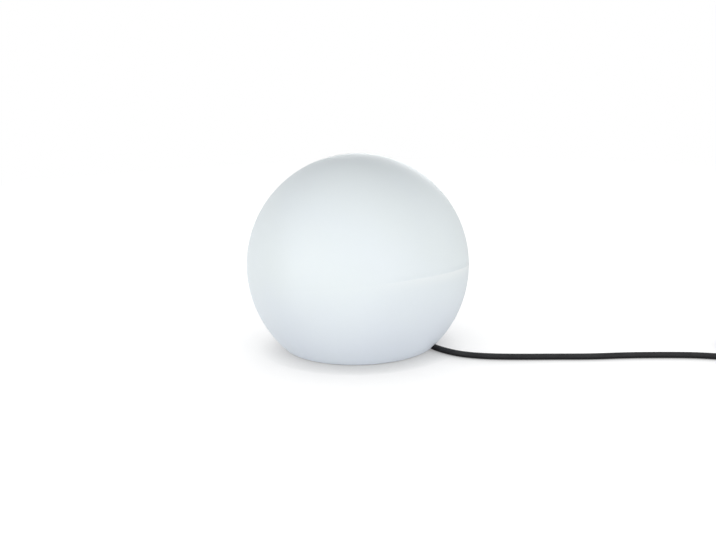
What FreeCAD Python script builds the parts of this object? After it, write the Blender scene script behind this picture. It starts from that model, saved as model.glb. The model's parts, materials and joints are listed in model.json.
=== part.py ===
"""Garden globe light: a frosted ball on a wired base, with a rubber cord wound up beside it.

Millimetres, +Z up. The origin is the centre of the foot, on the surface that the light stands on.
"""
import FreeCAD, Part

import os
from math import acos, cos, pi, radians, sin, sqrt, tan

V = FreeCAD.Vector
Z_AXIS = V(0, 0, 1)
ORIGIN = V(0, 0, 0)

# ---------------------------------------------------------------- driving dimensions
GLOBE_D = 300.0            # outside of the ball
GLOBE_WALL = 4.0
FOOT_D = 206.5             # the flat that the ball is cut to
FOOT_LIFT = 0.8            # foot rim above the surface, because the light stands on rubber feet
RECESS_R = 88.0            # mouth of the recess under the ball
RECESS_TOP_R = 84.0
RECESS_ROOF_Z = 30.0
NECK_R = 52.0              # opening in the recess roof that the bulb passes
GROOVE_AT = (94.5, -40.5)  # the cord's line where it passes the foot rim
GROOVE_HEADING = -48.5     # degrees from +X
GROOVE_FALL = 10.0         # degrees that the groove falls towards the rim
GROOVE_R = 5.6
GROOVE_Z = 5.8             # height of the groove's axis at the rim

CORD_D = 8.1
CORD_R = CORD_D / 2
CORD_FLOOR_Z = CORD_R      # height of the cord's centre where it lies on the surface

BASE_TURN = -35.0          # the base is turned so that its gland looks at the cord's groove
PLATE_R = 80.0
PLATE_Z = 24.0             # underside of the base plate
PLATE_T = 4.0
FIXING_R = 66.0            # pitch radius of the four screws that hold the ball
FEET_R = 70.0              # pitch radius of the four feet
QUARTERS = (0, 90, 180, 270)
DIAGONALS = (45, 135, 225, 315)

# The gland lies along the base's own X, which is called S here, beside its middle line by N.
GLAND_N = 26.4
GLAND_Z = 12.8
GLAND_THREAD_R = 7.5
GLAND_AF = 20.0            # hexagon across flats
GLAND_WALL_S = 27.5        # outside of the chamber wall that the gland is screwed into
GLAND_TAIL_S = 19.5        # end of the thread inside the chamber
GLAND_SEAL_S = (30.0, 43.0)
GLAND_END_S = 55.3         # nose of the gland nut, where the cord leaves
SEAL_RING_T = 1.4
FLANGE_S = GLAND_WALL_S + SEAL_RING_T
FLANGE_T = 4.5

CHAMBER = (-22.0, GLAND_WALL_S, -42.0, 42.0)   # outside of the wiring chamber
CHAMBER_WALL = 2.5
GLAND_WALL_T = 6.0
COVER_Z = 1.6
COVER_T = 2.2
SEAL_T = 0.6
LUGS = [(-14.0, -46.0), (-14.0, 46.0), (19.0, -46.0), (19.0, 46.0)]
LUG_R = 4.5

WAYS = (-6.0, 2.0, 10.0)   # terminal ways along the block
BLOCK_N = (-24.0, -12.0)
BLOCK_Z = (7.5, 19.0)
SCREWS_N = (-21.0, -15.0)  # two screws on each way
CORE_R = 1.3
LEAD_R = 1.1
SHEATH_END_S = 12.0        # where the cord's sheath is cut back to its cores

BRACKET_REACH = 28.0
BRACKET_FOOT_Z = 33.0
LAMP_SEAT_Z = 44.0         # top of the lampholder bracket
CAP_TOP_Z = LAMP_SEAT_Z + 14.0
SKIRT_TOP_Z = LAMP_SEAT_Z + 48.0
HOLDER_R = 20.5

THREAD_PITCH = 3.6         # rolled thread of the lampholder and the bulb
THREAD_TURNS = 5
BULB_TIP_Z = 66.6          # lowest point of the bulb
BULB_CAP_Z = BULB_TIP_Z + 5.0
BULB_CAP_TOP_Z = BULB_CAP_Z + 21.0
BULB_R = 30.0
BULB_TOP_Z = 176.0
BULB_BALL_Z = BULB_TOP_Z - BULB_R
HOUSING_TOP_Z = 132.0
HOUSING_TOP_R = 27.0
BOARD_TOP_Z = HOUSING_TOP_Z + 1.7
LEAD_TOP_Z = BULB_TIP_Z - 4.1   # where the leads reach the contacts in the ceramic insert

# The cord's free stretch, from the gland's nose to the coil.
CORD_ROUTE = [
    (84.0, -29.0, 8.0), (93.5, -39.4, 5.1),
    (102.5, -50.4, CORD_FLOOR_Z), (114.0, -63.4, CORD_FLOOR_Z), (128.5, -76.2, CORD_FLOOR_Z),
    (148.0, -85.6, CORD_FLOOR_Z), (174.0, -92.4, CORD_FLOOR_Z), (210.0, -96.2, CORD_FLOOR_Z),
    (252.0, -98.9, CORD_FLOOR_Z), (298.0, -102.6, CORD_FLOOR_Z), (342.0, -100.9, CORD_FLOOR_Z),
    (388.0, -103.2, CORD_FLOOR_Z), (430.0, -107.8, CORD_FLOOR_Z), (464.0, -118.0, CORD_FLOOR_Z),
]
CORD_STRAIGHT_OUT = 15.5   # first run, in line with the gland
CORD_STRAIGHT_IN = 24.0    # last run, in line with the coil's first turn
# The cord from the coil's top layer down to the plug, which lies beside the coil.
TAIL_ROUTE = [(617.5, -52.0, 31.5), (617.1, -34.0, 28.2), (617.9, -16.0, 22.6)]

COIL_CENTRE = (550.0, -80.0)
COIL_OUTER_R = 67.5        # centre line of the outermost turn
COIL_INNER_R = 37.7
COIL_FIRST_Z = 5.4         # centre line of the lowest layer, which lies on the ties
COIL_LAYERS = 4
COIL_LAYER_STEP = 8.7
COIL_START_DEG = -110.0
COIL_WHOLE_TURNS = 13
COIL_STEPS_PER_LAYER = 14

PLUG_X = COIL_CENTRE[0] + COIL_OUTER_R
PLUG_Y = 10.0              # where the cord meets the plug's sleeve
PLUG_R = 19.5
PLUG_SLEEVE_L = 28.0
PLUG_BODY_L = 38.0
PIN_R = 2.4
PIN_ROOT_R = 2.8           # thicker root, moulded into the plug
PIN_ROOT_L = 8.0
PIN_SPACING = 19.0
PIN_L = 19.0

GLOBE_R = GLOBE_D / 2
FOOT_R = FOOT_D / 2
GLOBE_DROP = sqrt(GLOBE_R ** 2 - FOOT_R ** 2)
GLOBE_Z = FOOT_LIFT + GLOBE_DROP
PLATE_TOP_Z = PLATE_Z + PLATE_T


# ---------------------------------------------------------------- shape helpers
def export(name, shape):
    """Write one sub-part to parts/NAME.step and print its size."""
    solids = shape.Solids
    body = solids[0] if len(solids) == 1 else Part.makeCompound(solids)
    body.exportStep("parts/" + name + ".step")
    state = "" if body.isValid() else "  NOT VALID"
    print("%-20s %2d solid  %10.1f mm3%s" % (name, len(solids), body.Volume, state))
    return body


def box(x0, x1, y0, y1, z0, z1):
    """A box between two corners."""
    return Part.makeBox(x1 - x0, y1 - y0, z1 - z0, V(x0, y0, z0))


def rod(radius, z0, z1, x=0.0, y=0.0):
    """An upright cylinder."""
    return Part.makeCylinder(radius, z1 - z0, V(x, y, z0))


def ring(inner, outer, z0, z1, x=0.0, y=0.0):
    """An upright tube."""
    return rod(outer, z0, z1, x, y).cut(rod(inner, z0 - 1, z1 + 1, x, y))


def bar(radius, s0, s1, n, z):
    """A cylinder along +X, in the base's own frame."""
    return Part.makeCylinder(radius, s1 - s0, V(s0, n, z), V(1, 0, 0))


def hex_prism(across_flats, height, start, direction):
    """A hexagonal prism with two level flats, from start along direction."""
    corner_r = across_flats / sqrt(3)
    points = [V(corner_r * cos(radians(60 * i)), corner_r * sin(radians(60 * i)), 0) for i in range(7)]
    prism = Part.Face(Part.makePolygon(points)).extrude(V(0, 0, height))
    if direction.x:
        prism.rotate(ORIGIN, Z_AXIS, 90)
        prism.rotate(ORIGIN, V(0, 1, 0), 90)
    prism.translate(start)
    return prism


def revolve(outline):
    """Turn a closed (radius, height) outline of straight lines round the Z axis."""
    points = [V(r, 0, z) for r, z in outline]
    points.append(points[0])
    return Part.Face(Part.makePolygon(points)).revolve(ORIGIN, Z_AXIS, 360)


def revolve_edges(edges):
    """Turn a closed outline of mixed edges round the Z axis."""
    return Part.Face(Part.Wire(edges)).revolve(ORIGIN, Z_AXIS, 360)


def line(a, b):
    """A straight edge in the XZ plane between two (radius, height) points."""
    return Part.LineSegment(V(a[0], 0, a[1]), V(b[0], 0, b[1])).toShape()


def arc(a, mid, b):
    """An arc in the XZ plane through three (radius, height) points."""
    return Part.Arc(V(a[0], 0, a[1]), V(mid[0], 0, mid[1]), V(b[0], 0, b[1])).toShape()


def turned(shape, angle=BASE_TURN):
    """A copy turned about the Z axis, from the base's own frame by default."""
    copy = shape.copy()
    copy.rotate(ORIGIN, Z_AXIS, angle)
    return copy


def at_quarters(shape, angles=QUARTERS):
    """One compound of a shape repeated round the Z axis."""
    return Part.makeCompound([turned(shape, angle) for angle in angles])


def union(shapes):
    """One solid of several that touch."""
    return shapes[0].multiFuse(shapes[1:]).removeSplitter()


# ---------------------------------------------------------------- tubes along a route
def arc_between(start, corner, end):
    """The arc from start to end that is tangent to the lines through corner."""
    chord_mid = (start + end) * 0.5
    half_chord = (end - start).Length / 2
    side = (start - corner).Length
    to_corner = corner - chord_mid
    half_turn = acos(min(1.0, half_chord / side))
    through = chord_mid + to_corner * (half_chord * tan(half_turn / 2) / to_corner.Length)
    return Part.Arc(start, through, end).toShape()


def rounded_route(points, share=0.45, radius=None):
    """Straight runs joined by tangent arcs, each as large as its two runs allow or of one radius."""
    edges = []
    radii = []
    start = points[0]
    for before, corner, after in zip(points, points[1:], points[2:]):
        half_turn = (corner - before).getAngle(after - corner) / 2
        reach = share * min((corner - before).Length, (after - corner).Length)
        if radius is not None:
            reach = min(reach, radius * tan(half_turn))
        into = corner + (before - corner).normalize() * reach
        out = corner + (after - corner).normalize() * reach
        radii.append(reach / tan(half_turn))
        edges.append(Part.LineSegment(start, into).toShape())
        edges.append(arc_between(into, corner, out))
        start = out
    edges.append(Part.LineSegment(start, points[-1]).toShape())
    return Part.Wire(edges), radii


def swept(path, radius):
    """A round tube along a wire."""
    first = path.Edges[0]
    tangent = first.tangentAt(first.FirstParameter)
    circle = Part.Circle(first.valueAt(first.FirstParameter), tangent, radius).toShape()
    shell = Part.BRepOffsetAPI.MakePipeShell(path)
    shell.add(Part.Wire(circle))
    shell.build()
    shell.makeSolid()
    return shell.shape()


def wire(points, bend, radius):
    """An insulated core through points, with bends of one size."""
    path, _ = rounded_route(points, share=0.49, radius=bend)
    return swept(path, radius)


def report_tube(name, path, radius, tube):
    """Print a tube's length, and its volume against its section times its length."""
    expected = pi * radius ** 2 * path.Length
    print("%-20s length %.1f mm, volume over section x length %.4f" % (name, path.Length, tube.Volume / expected))


# ---------------------------------------------------------------- ball
def sphere_point(radius, height):
    """The (radius, height) point of a ball of that radius at a height, on its right side."""
    return (sqrt(radius ** 2 - (height - GLOBE_Z) ** 2), height)


def globe_outline():
    """Section of the ball: outer skin, flat foot, recess and neck, one wall thick."""
    inner_r = GLOBE_R - GLOBE_WALL
    floor_z = FOOT_LIFT + GLOBE_WALL
    roof_top_z = RECESS_ROOF_Z + GLOBE_WALL
    top = (0.0, GLOBE_Z + GLOBE_R)
    rim = (FOOT_R, FOOT_LIFT)
    inner_floor = sphere_point(inner_r, floor_z)
    inner_top = (0.0, GLOBE_Z + inner_r)
    return [
        arc(top, sphere_point(GLOBE_R, GLOBE_Z), rim),
        line(rim, (RECESS_R, FOOT_LIFT)),
        line((RECESS_R, FOOT_LIFT), (RECESS_TOP_R, RECESS_ROOF_Z)),
        line((RECESS_TOP_R, RECESS_ROOF_Z), (NECK_R, RECESS_ROOF_Z)),
        line((NECK_R, RECESS_ROOF_Z), (NECK_R, roof_top_z)),
        line((NECK_R, roof_top_z), (RECESS_TOP_R + GLOBE_WALL, roof_top_z)),
        line((RECESS_TOP_R + GLOBE_WALL, roof_top_z), (RECESS_R + GLOBE_WALL, floor_z)),
        line((RECESS_R + GLOBE_WALL, floor_z), inner_floor),
        arc(inner_floor, sphere_point(inner_r, GLOBE_Z), inner_top),
        line(inner_top, top),
    ]


def groove_bar(radius, reach_in, reach_out):
    """A round-topped bar along the cord's line under the foot, open to the surface below."""
    tunnel = Part.makeCylinder(radius, reach_in + reach_out, V(-reach_in, 0, 0), V(1, 0, 0))
    below = box(-reach_in, reach_out, -radius, radius, -40.0, 0.0)
    shape = tunnel.fuse(below)
    shape.rotate(ORIGIN, V(0, 1, 0), GROOVE_FALL)
    shape.rotate(ORIGIN, Z_AXIS, GROOVE_HEADING)
    shape.translate(V(GROOVE_AT[0], GROOVE_AT[1], GROOVE_Z))
    return shape


def globe_shell():
    """The ball with its four inner bosses and the cord's groove through its foot."""
    boss_top = RECESS_ROOF_Z + 16
    shell = revolve_edges(globe_outline())
    bosses = turned(at_quarters(rod(9.0, RECESS_ROOF_Z + 1, boss_top, FIXING_R)))
    saddle = groove_bar(GROOVE_R + GLOBE_WALL, 26.0, 26.0)
    inside = Part.makeSphere(GLOBE_R - 1.0, V(0, 0, GLOBE_Z))
    under = rod(RECESS_R + 0.5, -5, RECESS_ROOF_Z + 0.5)
    saddle = saddle.common(inside).cut(under).common(rod(GLOBE_R, FOOT_LIFT, 40))
    shell = union([shell, saddle] + bosses.Solids)
    shell = shell.cut(groove_bar(GROOVE_R, 40.0, 40.0))
    bores = turned(at_quarters(rod(4.0, RECESS_ROOF_Z - 1, RECESS_ROOF_Z + 13, FIXING_R)))
    return shell.cut(bores)


def insert_nuts():
    """Brass nuts moulded into the bosses."""
    nut = ring(2.3, 4.0, RECESS_ROOF_Z + 0.2, RECESS_ROOF_Z + 12, FIXING_R)
    return turned(at_quarters(nut))


# ---------------------------------------------------------------- base
def chamber_inside(z0, z1):
    """The room for the wiring inside the chamber's walls."""
    x0, x1, y0, y1 = CHAMBER
    return box(x0 + CHAMBER_WALL, x1 - GLAND_WALL_T, y0 + CHAMBER_WALL, y1 - CHAMBER_WALL, z0, z1)


def base_plate():
    """The plate that closes the recess, with wiring chamber, spigot, foot posts and bracket pads."""
    chamber_z = COVER_Z + COVER_T + SEAL_T
    shapes = [
        rod(PLATE_R, PLATE_Z, PLATE_TOP_Z),
        ring(47.5, 50.5, PLATE_TOP_Z - 1, PLATE_TOP_Z + 8),
        box(*CHAMBER, chamber_z, PLATE_Z + 1),
    ]
    shapes += at_quarters(rod(7.0, 4.0, PLATE_Z + 1, FEET_R), DIAGONALS).Solids
    shapes += [rod(LUG_R, chamber_z, PLATE_Z + 1, x, y) for x, y in LUGS]
    shapes += [rod(6.0, PLATE_TOP_Z - 1, BRACKET_FOOT_Z, x) for x in (-BRACKET_REACH, BRACKET_REACH)]
    plate = union(shapes)
    cuts = [
        chamber_inside(chamber_z - 1, PLATE_Z),
        rod(9.0, PLATE_Z - 1, PLATE_TOP_Z + 1),
        bar(GLAND_THREAD_R + 0.1, GLAND_WALL_S - GLAND_WALL_T - 1, GLAND_WALL_S + 1, GLAND_N, GLAND_Z),
    ]
    cuts += at_quarters(rod(2.2, PLATE_Z - 1, PLATE_TOP_Z + 1, FIXING_R)).Solids
    cuts += at_quarters(rod(2.5, 3.0, 10.0, FEET_R), DIAGONALS).Solids
    cuts += [rod(1.5, chamber_z - 1, chamber_z + 10, x, y) for x, y in LUGS]
    cuts += [rod(1.8, PLATE_TOP_Z - 2, BRACKET_FOOT_Z + 1, x) for x in (-BRACKET_REACH, BRACKET_REACH)]
    return turned(plate.cut(Part.makeCompound(cuts)))


def wiring_cover():
    """The cover under the wiring chamber, with its four screw lugs."""
    z0, z1 = COVER_Z, COVER_Z + COVER_T
    cover = union([box(*CHAMBER, z0, z1)] + [rod(LUG_R, z0, z1, x, y) for x, y in LUGS])
    holes = [rod(1.7, z0 - 1, z1 + 1, x, y) for x, y in LUGS]
    return turned(cover.cut(Part.makeCompound(holes)))


def cover_seal():
    """The flat rubber frame between the cover and the chamber."""
    z0, z1 = COVER_Z + COVER_T, COVER_Z + COVER_T + SEAL_T
    return turned(box(*CHAMBER, z0, z1).cut(chamber_inside(z0 - 1, z1 + 1)))


def cover_screws():
    """Four pan screws that hold the cover, with their heads above the feet's soles."""
    screws = []
    for x, y in LUGS:
        head = rod(2.9, 0.4, COVER_Z, x, y).cut(box(x - 2.2, x + 2.2, y - 0.4, y + 0.4, 0.3, 1.0))
        screws.append(head.fuse(rod(1.5, COVER_Z, COVER_Z + 11.5, x, y)))
    return turned(Part.makeCompound(screws))


def plate_gasket():
    """The rubber ring that seals the plate against the recess roof."""
    gasket = ring(55.0, 78.0, PLATE_TOP_Z, RECESS_ROOF_Z - 0.1)
    return turned(gasket.cut(at_quarters(rod(2.6, PLATE_TOP_Z - 1, RECESS_ROOF_Z, FIXING_R))))


def plate_screws():
    """The four screws that hold the ball to the plate, driven from below."""
    washer_z = PLATE_Z - 0.8
    head = rod(3.9, washer_z - 2.8, washer_z, FIXING_R)
    slot = box(FIXING_R - 2.4, FIXING_R + 2.4, -0.5, 0.5, washer_z - 3, washer_z - 1.3)
    cross = slot.fuse(turned_about(slot, FIXING_R, 90))
    screw = head.cut(cross).fuse(rod(2.0, washer_z, RECESS_ROOF_Z + 11, FIXING_R))
    return turned(at_quarters(screw))


def turned_about(shape, x, angle):
    """A copy turned about an upright axis at (x, 0)."""
    copy = shape.copy()
    copy.rotate(V(x, 0, 0), Z_AXIS, angle)
    return copy


def screw_washers():
    """Plain washers under the four screws."""
    return turned(at_quarters(ring(2.2, 4.6, PLATE_Z - 0.8, PLATE_Z, FIXING_R)))


def rubber_feet():
    """Four rubber feet with stems pressed into the posts."""
    pad = rod(7.0, 0.0, 4.0, FEET_R)
    low = [e for e in pad.Edges if e.BoundBox.ZMax < 0.1]
    pad = pad.makeChamfer(0.8, low)
    foot = pad.fuse(rod(2.5, 4.0, 10.0, FEET_R))
    return turned(at_quarters(foot, DIAGONALS))


# ---------------------------------------------------------------- cord entry
def gland_part(outline):
    """Turn a closed (along, radius) outline round the gland's line."""
    points = [V(s, 0, r) for s, r in outline]
    points.append(points[0])
    shape = Part.Face(Part.makePolygon(points)).revolve(ORIGIN, V(1, 0, 0), 360)
    shape.translate(V(0, GLAND_N, GLAND_Z))
    return turned(shape)


def gland_washer():
    """Rubber ring between the gland and the chamber wall."""
    return gland_part([(GLAND_WALL_S, 7.6), (FLANGE_S, 7.6), (FLANGE_S, 9.6), (GLAND_WALL_S, 9.6)])


def gland_body():
    """The gland's threaded body with its hexagon flange."""
    flange_end = FLANGE_S + FLANGE_T
    seat, _ = GLAND_SEAL_S
    tube = gland_part([
        (GLAND_TAIL_S, 4.6), (GLAND_TAIL_S, GLAND_THREAD_R), (FLANGE_S, GLAND_THREAD_R), (flange_end, 8.2),
        (flange_end + 8.0, 8.2), (flange_end + 8.0, 6.1), (seat, 6.1), (seat, 4.6),
    ])
    flange = hex_prism(GLAND_AF, FLANGE_T, V(FLANGE_S, GLAND_N, GLAND_Z), V(1, 0, 0))
    flange = turned(flange.cut(bar(7.0, FLANGE_S - 1, flange_end + 1, GLAND_N, GLAND_Z)))
    return union([tube, flange])


def gland_seal():
    """The rubber sleeve that the nut squeezes onto the cord."""
    s0, s1 = GLAND_SEAL_S
    return gland_part([(s0, CORD_R), (s1, CORD_R), (s1, 6.0), (s0, 6.0)])


def gland_nut():
    """The clamping nut: a hexagon, then a nose that tapers down to the cord."""
    hex_start, hex_end = FLANGE_S + FLANGE_T + 0.5, GLAND_END_S - 10.3
    hexagon = hex_prism(GLAND_AF, hex_end - hex_start, V(hex_start, GLAND_N, GLAND_Z), V(1, 0, 0))
    nose = gland_part([
        (hex_end - 1, 4.5), (hex_end - 1, 9.6), (hex_end + 1.5, 9.6), (hex_end + 6.5, 8.2),
        (GLAND_END_S - 0.8, 6.3), (GLAND_END_S, 5.5), (GLAND_END_S, 4.5),
    ])
    nut = union([turned(hexagon), nose])
    bore = turned(bar(8.3, hex_start - 1, GLAND_SEAL_S[1] + 0.2, GLAND_N, GLAND_Z))
    hole = turned(bar(4.5, 40.0, GLAND_END_S + 1, GLAND_N, GLAND_Z))
    return nut.cut(bore).cut(hole)


def cord_inner():
    """The cord's sheath from the gland's nose into the chamber."""
    return turned(bar(CORD_R, SHEATH_END_S, GLAND_END_S, GLAND_N, GLAND_Z))


# ---------------------------------------------------------------- wiring
def core(track, way):
    """One core of the cord, round the inside of the chamber to its terminal."""
    offset = 2.8 * track
    points = [
        V(SHEATH_END_S, GLAND_N + offset, GLAND_Z), V(-15.0 - offset, GLAND_N + offset, GLAND_Z),
        V(-15.0 - offset, -33.0 - offset, GLAND_Z), V(way, -33.0 - offset, GLAND_Z),
        V(way, BLOCK_N[0], GLAND_Z),
    ]
    return turned(wire(points, 4.0, CORE_R))


def lead(angle, way):
    """One lead from its terminal up through the nipple into the lampholder."""
    x, y = 1.9 * cos(radians(angle)), 1.9 * sin(radians(angle))
    points = [V(x, y, LEAD_TOP_Z), V(x, y, 21.0), V(way, -3.5, GLAND_Z), V(way, BLOCK_N[1], GLAND_Z)]
    return turned(wire(points, 5.0, LEAD_R))


def terminal_block():
    """The three-way block, with a bore per way and screw wells from below."""
    block = box(WAYS[0] - 4, WAYS[2] + 4, *BLOCK_N, *BLOCK_Z)
    cuts = []
    for way in WAYS:
        cuts.append(Part.makeCylinder(2.5, 10.0, V(way, BLOCK_N[0] + 1, GLAND_Z), V(0, 1, 0)))
        cuts.append(Part.makeCylinder(1.6, 14.0, V(way, BLOCK_N[0] - 1, GLAND_Z), V(0, 1, 0)))
        cuts += [rod(1.4, BLOCK_Z[0] - 1, GLAND_Z, way, n) for n in SCREWS_N]
    return turned(block.cut(Part.makeCompound(cuts)))


def terminal_clamps():
    """Brass barrels inside the block's ways."""
    barrels = []
    for way in WAYS:
        barrel = Part.makeCylinder(2.4, 9.8, V(way, BLOCK_N[0] + 1.1, GLAND_Z), V(0, 1, 0))
        barrels.append(barrel.cut(Part.makeCylinder(1.5, 20.0, V(way, BLOCK_N[0] - 2, GLAND_Z), V(0, 1, 0))))
    return turned(Part.makeCompound(barrels))


def terminal_screws():
    """Six small screws that press on the wires through the wells."""
    return turned(Part.makeCompound([rod(1.2, 7.9, 10.3, way, n) for way in WAYS for n in SCREWS_N]))


# ---------------------------------------------------------------- lampholder
def lampholder_bracket():
    """A bent steel strap that carries the lampholder over the plate."""
    half, leg, t, w = BRACKET_REACH + 7.0, 19.0, 1.5, 12.0
    foot_z, top_z = BRACKET_FOOT_Z, LAMP_SEAT_Z
    outline = [
        (-half, foot_z), (-leg, foot_z), (-leg, top_z - t), (leg, top_z - t), (leg, foot_z), (half, foot_z),
        (half, foot_z + t), (leg + t, foot_z + t), (leg + t, top_z), (-leg - t, top_z),
        (-leg - t, foot_z + t), (-half, foot_z + t),
    ]
    points = [V(x, -w, z) for x, z in outline]
    points.append(points[0])
    strap = Part.Face(Part.makePolygon(points)).extrude(V(0, 2 * w, 0))
    holes = [rod(5.1, top_z - 3, top_z + 1)]
    holes += [rod(2.0, foot_z - 1, foot_z + 3, x) for x in (-BRACKET_REACH, BRACKET_REACH)]
    return turned(strap.cut(Part.makeCompound(holes)))


def bracket_screws():
    """Two pan screws through the bracket's feet."""
    seat_z = BRACKET_FOOT_Z + 1.5
    screws = []
    for x in (-BRACKET_REACH, BRACKET_REACH):
        head = rod(3.5, seat_z, seat_z + 2.4, x).cut(box(x - 2.2, x + 2.2, -0.5, 0.5, seat_z + 1.2, seat_z + 3))
        screws.append(head.fuse(rod(1.75, PLATE_TOP_Z - 1.5, seat_z, x)))
    return turned(Part.makeCompound(screws))


def nipple():
    """The hollow threaded nipple between bracket and lampholder."""
    return ring(3.5, 5.0, LAMP_SEAT_Z - 6.0, LAMP_SEAT_Z + 6.0)


def nipple_nut():
    """The hexagon nut under the bracket."""
    nut = hex_prism(14.0, 3.0, V(0, 0, LAMP_SEAT_Z - 4.6), Z_AXIS)
    return turned(nut.cut(rod(5.0, 30, 60)))


def lampholder_cap():
    """The lower half of the lampholder's body, a thin dome."""
    z0, z1 = LAMP_SEAT_Z, CAP_TOP_Z
    return revolve_edges([
        line((5.0, z0), (9.0, z0)),
        arc((9.0, z0), (16.3, z0 + 2.51), (HOLDER_R, z0 + 9.0)),
        line((HOLDER_R, z0 + 9.0), (HOLDER_R, z1)),
        line((HOLDER_R, z1), (HOLDER_R - 2.2, z1)),
        line((HOLDER_R - 2.2, z1), (HOLDER_R - 2.2, z0 + 9.0)),
        arc((HOLDER_R - 2.2, z0 + 9.0), (14.7, z0 + 4.22), (9.0, z0 + 2.4)),
        line((9.0, z0 + 2.4), (5.0, z0 + 2.4)),
        line((5.0, z0 + 2.4), (5.0, z0)),
    ])


def lampholder_skirt():
    """The upper half of the lampholder's body, with a rolled lip at its mouth."""
    z0, z1 = CAP_TOP_Z, SKIRT_TOP_Z
    outline = [
        (17.6, z0), (HOLDER_R, z0), (HOLDER_R, z0 + 2), (HOLDER_R - 0.6, z0 + 3), (HOLDER_R - 0.6, z1 - 5),
        (HOLDER_R + 0.8, z1 - 3.8), (HOLDER_R + 0.8, z1 - 0.8), (HOLDER_R, z1), (17.6, z1),
    ]
    skirt = revolve(outline)
    groove = Part.makeCylinder(0.9, z1 - z0 - 14, V(HOLDER_R - 0.3, 0, z0 + 5))
    return skirt.cut(at_quarters(groove, range(0, 360, 15)))


def lampholder_insert():
    """The ceramic insert that carries the screw shell and the contact."""
    z0, z1 = CAP_TOP_Z + 0.2, BULB_TIP_Z - 1.1
    insert = rod(17.4, z0, z1)
    return insert.cut(rod(4.5, z0 - 1, z1 - 3)).cut(turned(box(-9, 9, -2.2, 2.2, z1 - 0.4, z1 + 1)))


def thread_outline(z0, low_r, high_r):
    """The rolled thread's wave as (radius, height) points, upwards from z0."""
    points = []
    for i in range(THREAD_TURNS):
        base = z0 + i * THREAD_PITCH
        points += [(low_r, base), (high_r, base + 0.35 * THREAD_PITCH), (high_r, base + 0.65 * THREAD_PITCH)]
    points.append((low_r, z0 + THREAD_TURNS * THREAD_PITCH))
    return points


def screw_shell():
    """The brass shell that the bulb screws into."""
    z0 = BULB_TIP_Z - 1.1
    outer = [(14.1, z0)] + thread_outline(z0 + 3.0, 14.1, 14.9) + [(14.1, z0 + 22.5)]
    inner = [(r - 0.5, z) for r, z in reversed(outer)]
    return revolve(outer + inner)


def centre_contact():
    """The brass tongue under the bulb's tip."""
    z = BULB_TIP_Z - 1.5
    tongue = box(-8, 5, -2, 2, z, z + 0.5)
    pad = rod(2.6, z + 0.4, BULB_TIP_Z - 0.25)
    return turned(union([tongue, pad]))


# ---------------------------------------------------------------- bulb
def bulb_contact():
    """The bulb's tip contact."""
    z = BULB_TIP_Z
    return revolve([(0, z), (3.4, z), (4.6, z + 0.8), (4.6, z + 1.6), (0, z + 1.6)])


def bulb_insulator():
    """The dark glass-like ring between tip and screw cap."""
    z = BULB_TIP_Z + 1.6
    return revolve([(0, z), (4.8, z), (11.6, BULB_CAP_Z), (0, BULB_CAP_Z)])


def bulb_screw_cap():
    """The bulb's rolled screw cap."""
    outer = [(11.7, BULB_CAP_Z)] + thread_outline(BULB_CAP_Z + 0.8, 12.4, 13.2)
    outer += [(12.9, BULB_CAP_TOP_Z - 1.2), (12.9, BULB_CAP_TOP_Z)]
    inner = [(12.1, BULB_CAP_TOP_Z), (11.8, BULB_CAP_Z + 2), (11.0, BULB_CAP_Z)]
    return revolve(outer + inner)


def bulb_housing():
    """The flared white housing over the driver."""
    z0, z1 = BULB_CAP_TOP_Z, HOUSING_TOP_Z
    return revolve_edges([
        line((11.0, z0), (13.6, z0)),
        arc((13.6, z0), (17.6, z0 + 20.0), (HOUSING_TOP_R, z1)),
        line((HOUSING_TOP_R, z1), (HOUSING_TOP_R - 2.0, z1)),
        arc((HOUSING_TOP_R - 2.0, z1), (15.4, z0 + 20.0), (11.0, z0)),
    ])


def bulb_diffuser():
    """The opal dome of the bulb."""
    z = BULB_BALL_Z
    wall = 1.2
    rim_z = HOUSING_TOP_Z + 0.1
    rim_r = sqrt(BULB_R ** 2 - (rim_z - z) ** 2)
    inner_r = BULB_R - wall
    rim_inner_r = sqrt(inner_r ** 2 - (rim_z - z) ** 2)
    return revolve_edges([
        arc((0, z + BULB_R), (BULB_R, z), (rim_r, rim_z)),
        line((rim_r, rim_z), (rim_inner_r, rim_z)),
        arc((rim_inner_r, rim_z), (inner_r, z), (0, z + inner_r)),
        line((0, z + inner_r), (0, z + BULB_R)),
    ])


def led_board():
    """The round board that closes the housing."""
    return rod(24.0, HOUSING_TOP_Z + 0.2, BOARD_TOP_Z)


def led_chips():
    """Twelve small light emitters on the board."""
    chip = box(14.5, 17.5, -1.5, 1.5, BOARD_TOP_Z, BOARD_TOP_Z + 0.8)
    return at_quarters(chip, range(0, 360, 30))


def driver_board():
    """The upright board of the bulb's driver, with its two larger parts."""
    board = box(-8.0, 8.0, -0.6, 0.6, BULB_CAP_Z + 6, HOUSING_TOP_Z - 3)
    reservoir = Part.makeCylinder(4.0, 14.0, V(1.5, -4.4, BULB_CAP_TOP_Z + 5))
    coil_core = box(-7.0, -0.5, 0.5, 7.0, BULB_CAP_TOP_Z + 8, BULB_CAP_TOP_Z + 17)
    return union([board, reservoir, coil_core])


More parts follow.
